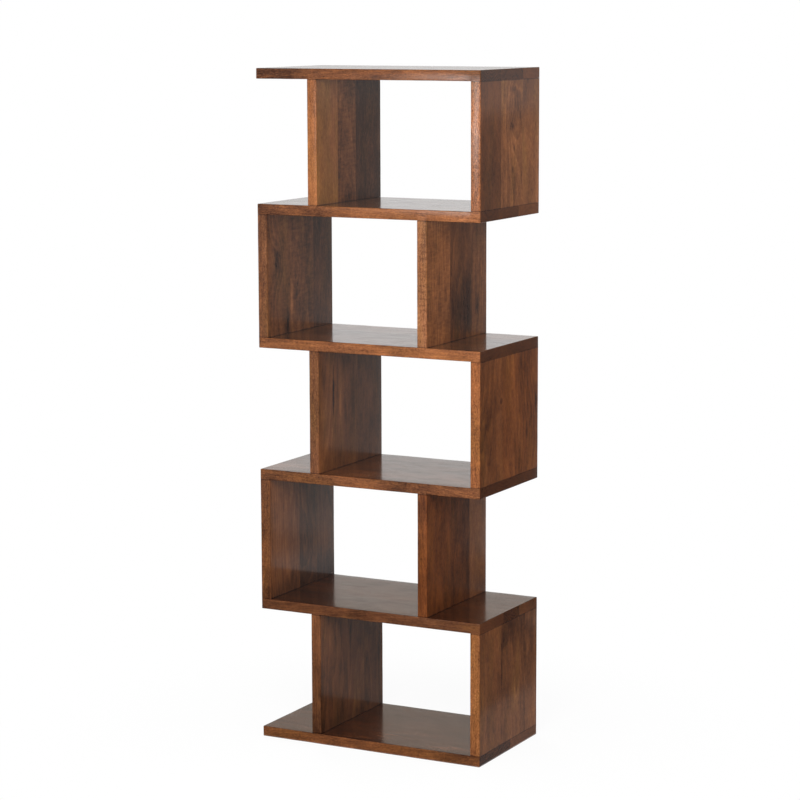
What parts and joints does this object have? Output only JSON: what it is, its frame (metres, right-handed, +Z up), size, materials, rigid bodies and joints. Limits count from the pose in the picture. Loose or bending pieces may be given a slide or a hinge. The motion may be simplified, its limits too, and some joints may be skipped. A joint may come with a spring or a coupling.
{
  "type": "etagere",
  "caption": "Tall open etagere of dark stained solid wood, with full-length shelves and uprights that change sides from tier to tier.",
  "frame": {"origin": "on the floor under the middle of the etagere", "axes": "+X to the right seen from the front, +Y to the back, +Z up"},
  "size_m": [0.65, 0.35, 1.79],
  "materials": {
    "dark_wood": "walnut-brown stain on darker heartwood staves, satin lacquer",
    "mid_wood": "walnut-brown stain on plain staves, satin lacquer",
    "light_wood": "walnut-brown stain on paler staves with open pores, satin lacquer",
    "tenon_wood": "bare planed hardwood"
  },
  "bodies": {
    "root": {"base_shelf_front_stave": "mid_wood", "base_shelf_middle_stave": "mid_wood", "base_shelf_back_stave": "dark_wood", "shelf_2_front_stave": "mid_wood", "shelf_2_middle_stave": "light_wood", "shelf_2_back_stave": "mid_wood", "shelf_3_front_stave": "light_wood", "shelf_3_middle_stave": "mid_wood", "shelf_3_back_stave": "dark_wood", "shelf_4_front_stave": "mid_wood", "shelf_4_middle_stave": "dark_wood", "shelf_4_back_stave": "light_wood", "shelf_5_front_stave": "light_wood", "shelf_5_middle_stave": "mid_wood", "shelf_5_back_stave": "mid_wood", "top_shelf_front_stave": "mid_wood", "top_shelf_middle_stave": "light_wood", "top_shelf_back_stave": "dark_wood", "tier_1_outer_upright_front_stave": "light_wood", "tier_1_outer_upright_middle_stave": "dark_wood", "tier_1_outer_upright_back_stave": "mid_wood", "tier_1_inner_upright_front_stave": "mid_wood", "tier_1_inner_upright_middle_stave": "dark_wood", "tier_1_inner_upright_back_stave": "dark_wood", "tier_2_outer_upright_front_stave": "mid_wood", "tier_2_outer_upright_middle_stave": "mid_wood", "tier_2_outer_upright_back_stave": "dark_wood", "tier_2_inner_upright_front_stave": "light_wood", "tier_2_inner_upright_middle_stave": "mid_wood", "tier_2_inner_upright_back_stave": "mid_wood", "tier_3_outer_upright_front_stave": "mid_wood", "tier_3_outer_upright_middle_stave": "light_wood", "tier_3_outer_upright_back_stave": "mid_wood", "tier_3_inner_upright_front_stave": "mid_wood", "tier_3_inner_upright_middle_stave": "mid_wood", "tier_3_inner_upright_back_stave": "dark_wood", "tier_4_outer_upright_front_stave": "mid_wood", "tier_4_outer_upright_middle_stave": "light_wood", "tier_4_outer_upright_back_stave": "mid_wood", "tier_4_inner_upright_front_stave": "light_wood", "tier_4_inner_upright_middle_stave": "dark_wood", "tier_4_inner_upright_back_stave": "mid_wood", "tier_5_outer_upright_front_stave": "dark_wood", "tier_5_outer_upright_middle_stave": "light_wood", "tier_5_outer_upright_back_stave": "mid_wood", "tier_5_inner_upright_front_stave": "light_wood", "tier_5_inner_upright_middle_stave": "dark_wood", "tier_5_inner_upright_back_stave": "mid_wood", "base_shelf_loose_tenons": "tenon_wood", "shelf_2_loose_tenons": "tenon_wood", "shelf_3_loose_tenons": "tenon_wood", "shelf_4_loose_tenons": "tenon_wood", "shelf_5_loose_tenons": "tenon_wood", "top_shelf_loose_tenons": "tenon_wood"}
  },
  "joints": []
}
